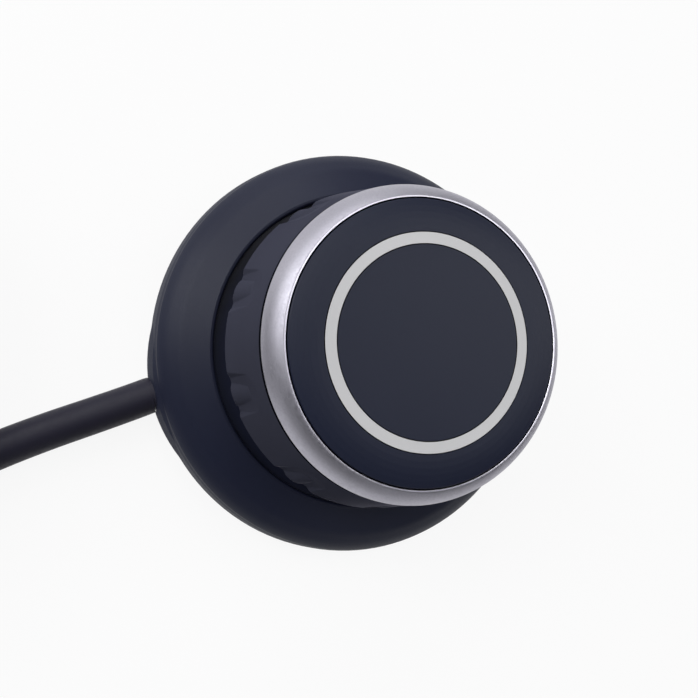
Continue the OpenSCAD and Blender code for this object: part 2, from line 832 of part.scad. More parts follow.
// Shaft: keyed end in the rotor, round in the bushing, one flat in the hub
module encoder_shaft() {
    color(steel) {
        key_bar(key_d / 2, key_flats / 2, shaft_low, shoulder_z + eps);
        translate([0, 0, shoulder_z]) cylinder(r = shaft_r, h = flat_low - shoulder_z);
        d_bar(shaft_r, shaft_flat - shaft_r, flat_low - eps, shaft_top);
    }
}

// Carrier of the knob: hub on the shaft, spokes, sleeve under the grip and skirt in the well
module knob_core() {
    color(plastic_black) difference() {
        union() {
            rotate_extrude() polygon(core_section);
            translate([0, 0, hub_low]) cylinder(r = hub_r, h = web_top - hub_low);
            for (i = [0:spoke_count - 1])
                rotate([0, 0, (i + 0.25) * 360 / spoke_count])
                    translate([hub_r / 2, -spoke_w / 2, web_top - spoke_drop - spoke_h])
                        cube([sleeve_r - core_wall / 2 - hub_r / 2, spoke_w, spoke_h]);
        }
        d_bar(shaft_r + push_fit, shaft_flat - shaft_r + push_fit, hub_low - eps, shaft_top + 0.1);
    }
}

// Split spring ring that closes the hub on the shaft
module hub_clip() {
    clip_t = 0.6;
    clip_gap = 40;
    low = hub_low + 0.6;
    high = web_top - spoke_drop - spoke_h - 0.6;
    inner = hub_r + push_fit;
    color(steel) rotate([0, 0, clip_gap / 2]) rotate_extrude(angle = 360 - clip_gap)
        polygon([[inner, low], [inner + clip_t, low], [inner + clip_t, high], [inner, high]]);
}

// What a hollow takes from the flared side of the grip: a flat scoop with sloping sides, less the lobe in it
module grip_hollow() {
    half = hollow_w / 2;
    floor_half = half - hollow_side;
    edge_fall = grip_low_r - sqrt(grip_low_r ^ 2 - half ^ 2);
    out = 1;
    out_half = floor_half + hollow_side * (out + hollow_depth) / (hollow_depth - edge_fall);
    below = 2;
    translate([grip_low_r, 0, grip_low + grip_round]) rotate([0, -grip_slope, 0]) difference() {
        rotate([0, hollow_lean, 0]) translate([0, 0, -below]) linear_extrude(hollow_len + below + 1) polygon([
            [-hollow_depth, -floor_half],
            [out, -out_half],
            [out, out_half],
            [-hollow_depth, floor_half]
        ]);
        translate([-lobe_drop - lobe_r, 0, -2 * below]) cylinder(r = lobe_r, h = lobe_len + 2 * below);
    }
}

// Flared grip: wide pads parted by hollows, each with a rounded lobe in it
module knob_grip() {
    color(grip_grey) difference() {
        rotate_extrude() polygon(grip_section);
        for (i = [0:grip_groups - 1]) rotate([0, 0, grip_turn + i * 360 / grip_groups]) grip_hollow();
    }
}

module trim_ring() {
    color(silver) rotate_extrude() polygon(trim_section);
}

// Milky disc whose raised ring shows in the face
module light_ring() {
    color(lamp_white) rotate_extrude() polygon(light_section);
}

module face_rim() {
    color(face_black) rotate_extrude() polygon(rim_section);
}

module face_disc() {
    color(face_black) translate([0, 0, plate_low]) cylinder(r = light_in_r - face_gap, h = face_t);
}

// Strain relief moulded on the cord: a block behind the wall and a neck through it
module cord_gland() {
    color(rubber_black) {
        block(0, gland_in + gland_l / 2, gland_w, gland_l, gland_low, gland_high);
        translate([0, gland_out, cord_z])
            rotate([-90, 0, 0]) cylinder(r = neck_r, h = gland_face - gland_out);
    }
}

// Wires from the gland to their joints under the main board
module cord_wires() {
    color(brass) for (i = [0:wire_count - 1]) translate([(i - (wire_count - 1) / 2) * wire_pitch, 0, 0]) {
        translate([0, wire_end, wire_z])
            rotate([-90, 0, 0]) cylinder(d = wire_d, h = gland_in - wire_end, $fn = 24);
        translate([0, wire_end, board_z - wire_d]) cylinder(d = wire_d * 1.5, h = wire_d, $fn = 24);
    }
}

module cord_lead() {
    color(cord_black) tube(lead_path, cord_r, 12, heading(coil_start - 90));
}

// Coil of the cord's spare length, one unbroken tube
module cord_coil() {
    color(cord_black) tube(coil_path, cord_r, 6, heading(plug_angle));
}

// Strap round the coil's turns
module cord_tie() {
    tie_angle = coil_start + 100;
    slack = 0.1;
    low_r = sqrt((coil_in_r - cord_r) ^ 2 - (tie_w / 2) ^ 2) - slack;
    high_r = coil_in_r + coil_pitch * coil_turns + cord_r + slack;
    top = coil_top + slack;
    color(rubber_black) translate([coil_x, coil_y, 0]) rotate([0, 0, tie_angle]) difference() {
        translate([low_r - tie_t, -tie_w / 2, 0]) cube([high_r - low_r + 2 * tie_t, tie_w, top + tie_t]);
        translate([low_r, -tie_w / 2 - eps, tie_t]) cube([high_r - low_r, tie_w + 2 * eps, top - tie_t]);
    }
}

// Places a piece of the plug on the coil, with +X from the cord's end to the plug's mouth
module on_plug(x) {
    translate(plug_at) rotate([0, 0, plug_angle]) translate([x, 0, 0]) children();
}

// Moulded grip of the plug, with its tapered strain relief
module plug_grip() {
    relief_d = cord_d + 1.2;
    color(cord_black) on_plug(0) {
        rotate([0, 90, 0]) cylinder(d1 = relief_d, d2 = relief_d + 1.6, h = relief_l);
        translate([relief_l, 0, 0]) rounded_bar(plug_l, plug_w, plug_h, 2);
    }
}

// Folded shell of the plug, with two windows in each broad face for the socket's springs
module plug_shell() {
    window_w = 2.2;
    window_l = 2.4;
    color(steel) on_plug(relief_l + plug_l) difference() {
        translate([0, -shell_w / 2, -shell_h / 2]) cube([shell_l, shell_w, shell_h]);
        translate([-eps, -shell_w / 2 + shell_t, -shell_h / 2 + shell_t])
            cube([shell_l + 2 * eps, shell_w - 2 * shell_t, shell_h - 2 * shell_t]);
        for (s = [-1, 1])
            translate([shell_l * 0.56, s * shell_w * 0.23, 0])
                cube([window_l, window_w, shell_h + 2 * eps], center = true);
    }
}

// Contact tongue along the lower side of the shell
module plug_tongue() {
    tongue_t = 1.8;
    color(lamp_white) on_plug(relief_l + plug_l)
        translate([0, -shell_w / 2 + shell_t + push_fit, -shell_h / 2 + shell_t])
            cube([shell_l - 0.6, shell_w - 2 * shell_t - 2 * push_fit, tongue_t]);
}

base_housing();
base_cover();
foot_ring();
cover_screws();
main_board();
board_screws();
control_chip();
board_parts();
encoder_base();
encoder_case();
encoder_pins();
switch_dome();
encoder_washer();
encoder_nut();
light_link();
light_board();
light_leds();
encoder_rotor();
encoder_shaft();
knob_core();
hub_clip();
knob_grip();
trim_ring();
light_ring();
face_rim();
face_disc();
cord_gland();
cord_wires();
cord_lead();
cord_coil();
cord_tie();
plug_grip();
plug_shell();
plug_tongue();
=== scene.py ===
import math

import bpy
import numpy as np
from mathutils import Matrix, Vector


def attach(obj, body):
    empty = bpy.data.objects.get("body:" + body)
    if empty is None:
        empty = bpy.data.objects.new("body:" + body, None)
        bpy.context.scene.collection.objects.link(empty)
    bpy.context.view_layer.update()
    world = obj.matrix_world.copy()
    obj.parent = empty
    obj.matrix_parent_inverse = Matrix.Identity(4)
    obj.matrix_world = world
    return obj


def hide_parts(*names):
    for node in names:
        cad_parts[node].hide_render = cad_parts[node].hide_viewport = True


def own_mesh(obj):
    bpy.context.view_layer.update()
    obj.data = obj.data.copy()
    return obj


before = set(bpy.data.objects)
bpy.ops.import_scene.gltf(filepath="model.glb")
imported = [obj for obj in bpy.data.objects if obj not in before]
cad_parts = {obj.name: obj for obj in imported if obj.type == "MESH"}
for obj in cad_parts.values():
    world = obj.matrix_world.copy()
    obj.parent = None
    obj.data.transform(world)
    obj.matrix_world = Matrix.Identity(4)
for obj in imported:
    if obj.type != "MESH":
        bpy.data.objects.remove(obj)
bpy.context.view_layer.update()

# Camera
# It looks down from close above the side where the cord leaves. The picture is square, and its left edge cuts
# the cord a short way out from the base.
mm = 0.001
picture_px = 698
focal_px = 640
sensor_mm = 36
nearest = 5 * mm
farthest = 10
eye = (2.571 * mm, 29.388 * mm, 86.45 * mm)
view_right = (-0.2019, -0.9246, 0.3229)
view_up = (0.9791, -0.1985, 0.0436)
view_back = (0.0238, 0.3250, 0.9454)
view_turn = Matrix((view_right, view_up, view_back)).transposed().to_quaternion()
camera_data = bpy.data.cameras.new("camera")
camera_data.sensor_width = sensor_mm
camera_data.lens = sensor_mm * focal_px / picture_px
camera_data.clip_start = nearest
camera_data.clip_end = farthest
camera = bpy.data.objects.new("camera", camera_data)
camera.matrix_world = Matrix.LocRotScale(Vector(eye), view_turn, None)
bpy.context.scene.collection.objects.link(camera)
bpy.context.scene.camera = camera
bpy.context.scene.view_settings.view_transform = "Standard"

# Desk and light
# A wide white desk in a dim room, white in reflections too. Soft panels stand overhead, at one side, and at
# the back, away from the cord. The brightest stands like a window between that side and the cord, and the
# other side has only a weak one. The desk takes the shadow.
desk_half = 1.5
desk_corners = [(-1, -1, 0), (1, -1, 0), (1, 1, 0), (-1, 1, 0)]
desk_white = (0.86, 0.86, 0.87, 1)
desk_roughness = 0.9
desk_gloss = 0.1
desk_glow = 0.9
room_grey = (0.020, 0.021, 0.026, 1)
light_aim = (0, 0, 20 * mm)


def shown_white(tree):
    """A mask that is 1 for rays that the camera, a gloss or a glass sends: the largest of three ray kinds."""
    path = tree.nodes.new("ShaderNodeLightPath")
    gloss = tree.nodes.new("ShaderNodeMath")
    gloss.operation = "MAXIMUM"
    tree.links.new(path.outputs["Is Camera Ray"], gloss.inputs[0])
    tree.links.new(path.outputs["Is Glossy Ray"], gloss.inputs[1])
    every = tree.nodes.new("ShaderNodeMath")
    every.operation = "MAXIMUM"
    tree.links.new(gloss.outputs[0], every.inputs[0])
    tree.links.new(path.outputs["Is Transmission Ray"], every.inputs[1])
    return every.outputs[0]


def add_panel(name, place, width, glow):
    """A square soft light at a place, turned to the knob. Its power gives its face the stated glow, where 1
    is white: glow times pi times the area."""
    data = bpy.data.lights.new(name, "AREA")
    data.shape = "SQUARE"
    data.size = width
    data.energy = glow * math.pi * width * width
    light = bpy.data.objects.new(name, data)
    light.location = place
    light.rotation_euler = (Vector(light_aim) - Vector(place)).to_track_quat("-Z", "Y").to_euler()
    bpy.context.scene.collection.objects.link(light)


add_panel("overhead_panel", (0.40, 0.10, 0.75), width=0.7, glow=1.5)
add_panel("window_panel", (0.43, 0.52, 0.41), width=0.45, glow=5.0)
add_panel("side_panel", (0.65, 0, 0.35), width=0.4, glow=2.6)
add_panel("back_panel", (0, -0.65, 0.35), width=0.4, glow=1.2)
add_panel("high_back_panel", (0.05, -0.45, 0.75), width=0.55, glow=1.8)
add_panel("weak_panel", (-0.65, 0, 0.35), width=0.4, glow=0.45)

world = bpy.data.worlds.new("room")
world.use_nodes = True
world.node_tree.nodes["Background"].inputs["Color"].default_value = room_grey
bpy.context.scene.world = world

desk_mesh = bpy.data.meshes.new("desk")
desk_mesh.from_pydata(np.array(desk_corners) * desk_half, [], [(0, 1, 2, 3)])
desk = bpy.data.objects.new("desk", desk_mesh)
bpy.context.scene.collection.objects.link(desk)
desk_material = bpy.data.materials.new("desk_white")
desk_material.use_nodes = True
desk_tree = desk_material.node_tree
desk_paint = desk_tree.nodes["Principled BSDF"]
desk_paint.inputs["Base Color"].default_value = desk_white
desk_paint.inputs["Roughness"].default_value = desk_roughness
desk_paint.inputs["Specular IOR Level"].default_value = desk_gloss
desk_light = desk_tree.nodes.new("ShaderNodeEmission")
desk_share = desk_tree.nodes.new("ShaderNodeMath")
desk_share.operation = "MULTIPLY"
desk_share.inputs[1].default_value = desk_glow
desk_tree.links.new(shown_white(desk_tree), desk_share.inputs[0])
desk_mix = desk_tree.nodes.new("ShaderNodeMixShader")
desk_tree.links.new(desk_share.outputs[0], desk_mix.inputs["Fac"])
desk_tree.links.new(desk_paint.outputs["BSDF"], desk_mix.inputs[1])
desk_tree.links.new(desk_light.outputs["Emission"], desk_mix.inputs[2])
desk_tree.links.new(desk_mix.outputs["Shader"], desk_tree.nodes["Material Output"].inputs["Surface"])
desk_mesh.materials.append(desk_material)

# Cord
# A shielded lead in a smooth soft sheath, about one and a half metres long. It leaves the base level, lies
# along the desk, and its spare length is wound in two layers into a flat coil outside the picture.
gland_face = 27.2 * mm
cord_d = 4.5 * mm
cord_r = cord_d / 2
cord_facets = 6
# Sideways, out from the gland's face, and height of the underside above the desk
lead_route = np.array([
    [0, 0, 0.25],
    [0, 0.5, 0.25],
    [-0.2, 1.8, 0.25],
    [-0.55, 4.3, 0.22],
    [-1, 7.8, 0.17],
    [-1.5, 11.8, 0.12],
    [-2.1, 15.8, 0.1],
    [-2.85, 19.8, 0.12],
    [-3.9, 23.8, 0.2],
    [-5.3, 27.8, 0.35],
]) * mm + np.array([0, gland_face, cord_r])
lead_steps = 4
coil_centre = np.array([20 * mm, gland_face + 57.8 * mm])
coil_start = math.radians(215)
coil_turns = 4
coil_extra = 0.25
coil_pitch = 5 * mm
coil_in_r = 17 * mm
coil_z = 2.8 * mm
coil_end = 2 * coil_turns + coil_extra
coil_steps = 48
tail_r = 20 * mm
tail_steps = 16
plug_z = 14.35 * mm


def smooth_step(t):
    """Rises from 0 to 1 with level ends: three t squared less two t cubed, held outside 0 to 1."""
    u = np.clip(t, 0, 1)
    return u * u * (3 - 2 * u)


def heading(angle):
    """Level unit vector at an angle from +X."""
    return np.array([math.cos(angle), math.sin(angle), 0])


def coil_route(s):
    """Points of the coil after s turns: the radius shrinks by a pitch a turn for the first layer, grows for
    the second and shrinks again after it, and the height climbs by a pitch in the half turn round each
    reversal."""
    angle = coil_start - 2 * np.pi * s
    layer = np.where(s < 2 * coil_turns, np.abs(s - coil_turns), 3 * coil_turns - s)
    radius = coil_in_r + coil_pitch * layer
    climb = smooth_step((s - coil_turns) * 2 + 0.5) + smooth_step((s - 2 * coil_turns) * 2 + 0.5)
    return np.stack(
        [
            coil_centre[0] + radius * np.cos(angle),
            coil_centre[1] + radius * np.sin(angle),
            coil_z + coil_pitch * climb,
        ],
        axis=1,
    )


def through_points(points, steps):
    """A smooth line through points: between each two, the cubic whose slope at a point is half the step from
    the point before to the point after."""
    slope = np.gradient(points, axis=0)
    t = np.linspace(0, 1, steps, endpoint=False)[None, :, None]
    a, b = points[:-1, None], points[1:, None]
    m, n = slope[:-1, None], slope[1:, None]
    curve = (
        (2 * t**3 - 3 * t**2 + 1) * a
        + (t**3 - 2 * t**2 + t) * m
        + (3 * t**2 - 2 * t**3) * b
        + (t**3 - t**2) * n
    )
    return np.concatenate([curve.reshape(-1, 3), points[-1:]])


spiral = coil_route(np.linspace(0, coil_end, int(coil_end * coil_steps) + 1))
coil_first = spiral[0] - cord_d * heading(coil_start - math.pi / 2)
tail_heading = coil_start - 2 * math.pi * coil_end - math.pi / 2
tail_centre = spiral[-1] + tail_r * heading(tail_heading - math.pi / 2)
tail_share = np.linspace(0, 1, tail_steps + 1)[1:]
tail_angle = tail_heading + math.pi / 2 * (1 - tail_share)
tail = np.stack(
    [
        tail_centre[0] + tail_r * np.cos(tail_angle),
        tail_centre[1] + tail_r * np.sin(tail_angle),
        spiral[-1][2] + (plug_z - spiral[-1][2]) * smooth_step(tail_share),
    ],
    axis=1,
)
plug_angle = tail_heading - math.pi / 2
plug_at = tail[-1] + cord_d * heading(plug_angle)
lead = through_points(np.concatenate([lead_route, [coil_first, spiral[0]]]), lead_steps)
route = np.concatenate([lead[:-1], spiral, tail, [plug_at]])

grains_in_cloud = 50
noise_detail = 3
noise_low, noise_high = 0.3, 0.7


def make_grain_masks():
    """Two masks on Object coordinates: Grain is noise with the given number of cells a metre, and Cloud is
    noise with a fiftieth of that, for slow changes of tone."""
    group = bpy.data.node_groups.new("grain_masks", "ShaderNodeTree")
    group.interface.new_socket("Fineness", in_out="INPUT", socket_type="NodeSocketFloat")
    group.interface.new_socket("Grain", in_out="OUTPUT", socket_type="NodeSocketFloat")
    group.interface.new_socket("Cloud", in_out="OUTPUT", socket_type="NodeSocketFloat")
    given = group.nodes.new("NodeGroupInput")
    result = group.nodes.new("NodeGroupOutput")
    place = group.nodes.new("ShaderNodeTexCoord")
    slower = group.nodes.new("ShaderNodeMath")
    slower.operation = "DIVIDE"
    slower.inputs[1].default_value = grains_in_cloud
    group.links.new(given.outputs["Fineness"], slower.inputs[0])
    for mask, scale in (("Grain", given.outputs["Fineness"]), ("Cloud", slower.outputs[0])):
        noise = group.nodes.new("ShaderNodeTexNoise")
        noise.inputs["Detail"].default_value = noise_detail
        group.links.new(place.outputs["Object"], noise.inputs["Vector"])
        group.links.new(scale, noise.inputs["Scale"])
        group.links.new(noise.outputs["Fac"], result.inputs[mask])
    return group


grain_masks = make_grain_masks()


def moulded(name, dark, pale, roughness, fineness, relief, gloss):
    """A moulded finish: colour from dark to pale by the cloud mask, roughness between two values and a bump
    of the given relief in metres by the grain mask, and a specular level."""
    material = bpy.data.materials.new(name)
    material.use_nodes = True
    tree = material.node_tree
    shader = tree.nodes["Principled BSDF"]
    shader.inputs["Specular IOR Level"].default_value = gloss
    masks = tree.nodes.new("ShaderNodeGroup")
    masks.node_tree = grain_masks
    masks.inputs["Fineness"].default_value = fineness
    tone = tree.nodes.new("ShaderNodeValToRGB")
    tone.color_ramp.elements[0].position = noise_low
    tone.color_ramp.elements[0].color = (*dark, 1)
    tone.color_ramp.elements[1].position = noise_high
    tone.color_ramp.elements[1].color = (*pale, 1)
    tree.links.new(masks.outputs["Cloud"], tone.inputs["Fac"])
    tree.links.new(tone.outputs["Color"], shader.inputs["Base Color"])
    rough = tree.nodes.new("ShaderNodeMapRange")
    rough.inputs["From Min"].default_value = noise_low
    rough.inputs["From Max"].default_value = noise_high
    rough.inputs["To Min"].default_value = roughness[0]
    rough.inputs["To Max"].default_value = roughness[1]
    tree.links.new(masks.outputs["Grain"], rough.inputs["Value"])
    tree.links.new(rough.outputs["Result"], shader.inputs["Roughness"])
    bump = tree.nodes.new("ShaderNodeBump")
    bump.inputs["Distance"].default_value = relief
    tree.links.new(masks.outputs["Grain"], bump.inputs["Height"])
    tree.links.new(bump.outputs["Normal"], shader.inputs["Normal"])
    return material


cord_sheath = moulded(
    "cord_sheath",
    dark=(0.016, 0.0150, 0.0275),
    pale=(0.020, 0.0190, 0.0335),
    roughness=(0.46, 0.58),
    fineness=1500,
    relief=0.02 * mm,
    gloss=0.25,
)
cord_curve = bpy.data.curves.new("cord", "CURVE")
cord_curve.dimensions = "3D"
cord_curve.bevel_depth = cord_r
cord_curve.bevel_resolution = cord_facets
cord_curve.use_fill_caps = True
cord_spline = cord_curve.splines.new("POLY")
cord_spline.points.add(len(route) - 1)
cord_spline.points.foreach_set("co", np.c_[route, np.ones(len(route))].ravel())
cord_spline.use_smooth = True
cord_curve.materials.append(cord_sheath)
cord = bpy.data.objects.new("cord", cord_curve)
bpy.context.scene.collection.objects.link(cord)
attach(cord, "base")
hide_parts("cord_lead", "cord_coil")

# Gland and tie
# The gland is a soft moulding on the cord that the base closes on, so that a tug can't reach the wires.
# The tie is a flat strap of the same dull rubber as the foot, closed round the coil.


def finish_node(node, material):
    """Gives a CAD node its finish."""
    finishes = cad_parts[node].data.materials
    finishes.clear()
    finishes.append(material)


dull_rubber = moulded(
    "dull_rubber",
    dark=(0.009, 0.009, 0.010),
    pale=(0.013, 0.013, 0.014),
    roughness=(0.70, 0.85),
    fineness=1200,
    relief=0.04 * mm,
    gloss=0.25,
)
finish_node("cord_gland", cord_sheath)
finish_node("cord_tie", dull_rubber)

# Plug
# The grip is moulded over the cord's end: a tapered relief with rings that let it bend, and a flat body with
# ribs for the fingers. The shell is folded from plated sheet round a white tongue.
relief_l = 9 * mm
relief_r = (2.85 * mm, 3.65 * mm)
relief_rings = 5
ring_depth = 0.45 * mm
body_l = 25 * mm
body_half = (7.7 * mm, 4 * mm)
body_power = 0.4
shoulder = 2.2 * mm
end_round = 0.5 * mm
rib_depth = 0.35 * mm
rib_count = 6
rib_margin = 5 * mm
relief_rows = 61
shoulder_rows = 13
body_rows = 49
end_rows = 9
plug_around = 72
plug_crease = 40


def make_piece(name, points, capped, crease, material):
    """A piece from a grid of points, closed round its columns. Its rows are open with a flat cap at each end,
    or closed round too. It is smooth, but for edges that turn by more degrees than the crease."""
    rows, columns = points.shape[:2]
    index = np.arange(rows * columns).reshape(rows, columns)
    beside = np.roll(index, -1, axis=1)
    above, corner = np.roll(index, -1, axis=0), np.roll(beside, -1, axis=0)
    last = rows - 1 if capped else rows
    quads = np.stack([index, beside, corner, above], axis=2)[:last].reshape(-1, 4).tolist()
    caps = [index[0, ::-1].tolist(), index[-1].tolist()] if capped else []
    mesh = bpy.data.meshes.new(name)
    mesh.from_pydata(points.reshape(-1, 3), [], quads + caps)
    mesh.shade_smooth()
    mesh.set_sharp_from_angle(angle=math.radians(crease))
    mesh.materials.append(material)
    piece = bpy.data.objects.new(name, mesh)
    bpy.context.scene.collection.objects.link(piece)
    return piece


def place_on_plug(along, across, up):
    """Points in the plug's own axes, moved to where it lies on the coil."""
    ahead, aside, above = heading(plug_angle), heading(plug_angle + math.pi / 2), np.array([0, 0, 1])
    return plug_at + along[..., None] * ahead + across[..., None] * aside + up[..., None] * above


def plug_grip_points():
    """Sections along the plug, each a rounded box: cosine and sine to a power that falls from 1 on the round
    relief to a lesser one on the body. The half width and height swell from relief to body in a quarter-round
    shoulder, rings are cosine dips in the relief's radius, and ribs are cosine dips in the body's half
    width."""
    x = np.concatenate([
        np.linspace(0, relief_l, relief_rows),
        relief_l + shoulder * (1 - np.cos(np.linspace(0, np.pi / 2, shoulder_rows)[1:])),
        np.linspace(relief_l + shoulder, relief_l + body_l - shoulder, body_rows)[1:],
        relief_l + body_l - shoulder * (1 - np.sin(np.linspace(0, np.pi / 2, end_rows)[1:])),
    ])
    share = np.clip(x / relief_l, 0, 1)
    ring_dip = ring_depth * (0.5 - 0.5 * np.cos(2 * np.pi * relief_rings * share)) * (share < 1)
    round_r = relief_r[0] + (relief_r[1] - relief_r[0]) * share - ring_dip
    into = np.clip((x - relief_l) / shoulder, 0, 1)
    out = np.clip((relief_l + body_l - x) / shoulder, 0, 1)
    swell = np.sqrt(1 - (1 - into) ** 2)
    rounding = end_round * (1 - np.sqrt(1 - (1 - out) ** 2))
    middle = np.clip((x - relief_l - rib_margin) / (body_l - 2 * rib_margin), 0, 1)
    rib_dip = rib_depth * (0.5 - 0.5 * np.cos(2 * np.pi * rib_count * middle))
    half_w = round_r + (body_half[0] - round_r) * swell - rounding - rib_dip
    half_h = round_r + (body_half[1] - round_r) * swell - rounding
    power = (1 - (1 - body_power) * smooth_step(into))[:, None]
    turn = np.linspace(0, 2 * np.pi, plug_around, endpoint=False)[None]
    across = half_w[:, None] * np.sign(np.cos(turn)) * np.abs(np.cos(turn)) ** power
    up = half_h[:, None] * np.sign(np.sin(turn)) * np.abs(np.sin(turn)) ** power
    return place_on_plug(np.broadcast_to(x[:, None], across.shape), across, up)


plug_plastic = moulded(
    "plug_plastic",
    dark=(0.011, 0.011, 0.012),
    pale=(0.015, 0.015, 0.017),
    roughness=(0.50, 0.62),
    fineness=2500,
    relief=0.02 * mm,
    gloss=0.4,
)
plug_points = plug_grip_points()
plug_body = make_piece("plug_body", plug_points, capped=True, crease=plug_crease, material=plug_plastic)
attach(plug_body, "base")
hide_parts("plug_grip")


def metal(name, dark, pale, roughness, fineness, relief):
    """A plain metal finish: colour, roughness and bump from the grain masks, with full metallic."""
    material = moulded(name, dark, pale, roughness, fineness, relief, gloss=0.5)
    material.node_tree.nodes["Principled BSDF"].inputs["Metallic"].default_value = 1
    return material


plated_steel = metal(
    "plated_steel",
    dark=(0.52, 0.52, 0.54),
    pale=(0.60, 0.60, 0.61),
    roughness=(0.22, 0.34),
    fineness=3000,
    relief=0.004 * mm,
)
milky_plastic = moulded(
    "milky_plastic",
    dark=(0.61, 0.61, 0.62),
    pale=(0.65, 0.65, 0.66),
    roughness=(0.38, 0.48),
    fineness=2500,
    relief=0.004 * mm,
    gloss=0.4,
)
finish_node("plug_shell", plated_steel)
finish_node("plug_tongue", milky_plastic)

# Base
# The housing is one moulding in black plastic with a fine matte texture: a flared skirt with an edge that is
# a little rougher, and a smoother well round the knob's foot. A plain plastic cover below is screwed on.
well_r = 20.05 * mm
well_roughness = 0.8
edge_r = 26.4 * mm
edge_roughness = 1.2


def make_round_place():
    """Two values from Object coordinates: the distance from the knob's axis and the height, in metres."""
    group = bpy.data.node_groups.new("round_place", "ShaderNodeTree")
    for value in ("Distance", "Height"):
        group.interface.new_socket(value, in_out="OUTPUT", socket_type="NodeSocketFloat")
    result = group.nodes.new("NodeGroupOutput")
    place = group.nodes.new("ShaderNodeTexCoord")
    parts = group.nodes.new("ShaderNodeSeparateXYZ")
    group.links.new(place.outputs["Object"], parts.inputs["Vector"])
    flat = group.nodes.new("ShaderNodeCombineXYZ")
    group.links.new(parts.outputs["X"], flat.inputs["X"])
    group.links.new(parts.outputs["Y"], flat.inputs["Y"])
    distance = group.nodes.new("ShaderNodeVectorMath")
    distance.operation = "LENGTH"
    group.links.new(flat.outputs["Vector"], distance.inputs[0])
    group.links.new(distance.outputs["Value"], result.inputs["Distance"])
    group.links.new(parts.outputs["Z"], result.inputs["Height"])
    return group


round_place = make_round_place()


def round_mask(material, output, operation, limit):
    """A mask that is 1 where the distance from the axis or the height is greater or less than a limit."""
    tree = material.node_tree
    place = tree.nodes.new("ShaderNodeGroup")
    place.node_tree = round_place
    mask = tree.nodes.new("ShaderNodeMath")
    mask.operation = operation
    mask.inputs[1].default_value = limit
    tree.links.new(place.outputs[output], mask.inputs[0])
    return mask.outputs[0]


def scale_where(material, mask, socket, share):
    """Multiplies the colour or the roughness of a finish by a share where the mask is 1."""
    tree = material.node_tree
    target = tree.nodes["Principled BSDF"].inputs[socket]
    level = tree.nodes.new("ShaderNodeMapRange")
    level.inputs["To Min"].default_value = 1
    level.inputs["To Max"].default_value = share
    tree.links.new(mask, level.inputs["Value"])
    scaled = tree.nodes.new("ShaderNodeVectorMath")
    scaled.operation = "SCALE"
    tree.links.new(target.links[0].from_socket, scaled.inputs[0])
    tree.links.new(level.outputs["Result"], scaled.inputs["Scale"])
    tree.links.new(scaled.outputs["Vector"], target)


base_plastic = moulded(
    "base_plastic",
    dark=(0.0134, 0.0160, 0.0355),
    pale=(0.0150, 0.0180, 0.0385),
    roughness=(0.44, 0.52),
    fineness=4000,
    relief=0.006 * mm,
    gloss=0.24,
)
at_edge = round_mask(base_plastic, "Distance", "GREATER_THAN", edge_r)
scale_where(base_plastic, at_edge, "Roughness", edge_roughness)
in_well = round_mask(base_plastic, "Distance", "LESS_THAN", well_r)
scale_where(base_plastic, in_well, "Roughness", well_roughness)
plain_plastic = moulded(
    "plain_plastic",
    dark=(0.006, 0.0065, 0.0105),
    pale=(0.007, 0.0075, 0.0125),
    roughness=(0.60, 0.70),
    fineness=3000,
    relief=0.006 * mm,
    gloss=0.15,
)
screw_steel = metal(
    "screw_steel",
    dark=(0.44, 0.45, 0.46),
    pale=(0.54, 0.55, 0.56),
    roughness=(0.30, 0.44),
    fineness=2500,
    relief=0.006 * mm,
)
finish_node("base_housing", base_plastic)
finish_node("base_cover", plain_plastic)
finish_node("foot_ring", dull_rubber)
finish_node("cover_screws", screw_steel)
finish_node("board_screws", screw_steel)

# Boards
# Two round boards of green laminate with copper under the varnish, a black control chip, and small brown
# ceramic parts. Stamped brass terminals and link pins join them.
track_cells = 400
track_width = 0.06
field_green = (0.020, 0.130, 0.055, 1)
track_green = (0.030, 0.160, 0.070, 1)


def make_laminate():
    """Green varnish over copper: rows of small fields, each in a dark or a middle green, with paler lines
    between them where the copper runs."""
    material = moulded(
        "board_laminate",
        dark=(0.008, 0.055, 0.024),
        pale=(0.012, 0.075, 0.034),
        roughness=(0.28, 0.36),
        fineness=2000,
        relief=0.003 * mm,
        gloss=0.5,
    )
    tree = material.node_tree
    shader = tree.nodes["Principled BSDF"]
    tone = next(node for node in tree.nodes if node.type == "VALTORGB")
    place = tree.nodes.new("ShaderNodeTexCoord")
    tracks = tree.nodes.new("ShaderNodeTexBrick")
    tracks.inputs["Scale"].default_value = track_cells
    tracks.inputs["Mortar Size"].default_value = track_width
    tracks.inputs["Color2"].default_value = field_green
    tracks.inputs["Mortar"].default_value = track_green
    tree.links.new(place.outputs["Object"], tracks.inputs["Vector"])
    tree.links.new(tone.outputs["Color"], tracks.inputs["Color1"])
    tree.links.new(tracks.outputs["Color"], shader.inputs["Base Color"])
    return material


board_laminate = make_laminate()
chip_resin = moulded(
    "chip_resin",
    dark=(0.010, 0.010, 0.011),
    pale=(0.014, 0.014, 0.015),
    roughness=(0.55, 0.7),
    fineness=5000,
    relief=0.01 * mm,
    gloss=0.35,
)
brown_ceramic = moulded(
    "brown_ceramic",
    dark=(0.20, 0.13, 0.07),
    pale=(0.30, 0.21, 0.12),
    roughness=(0.4, 0.6),
    fineness=3000,
    relief=0.01 * mm,
    gloss=0.4,
)
stamped_brass = metal(
    "stamped_brass",
    dark=(0.56, 0.40, 0.15),
    pale=(0.66, 0.50, 0.21),
    roughness=(0.26, 0.4),
    fineness=3000,
    relief=0.004 * mm,
)
for node in ("main_board", "light_board"):
    finish_node(node, board_laminate)
for node in ("control_chip", "encoder_base"):
    finish_node(node, chip_resin)
finish_node("board_parts", brown_ceramic)
for node in ("encoder_pins", "encoder_nut", "light_link", "cord_wires"):
    finish_node(node, stamped_brass)

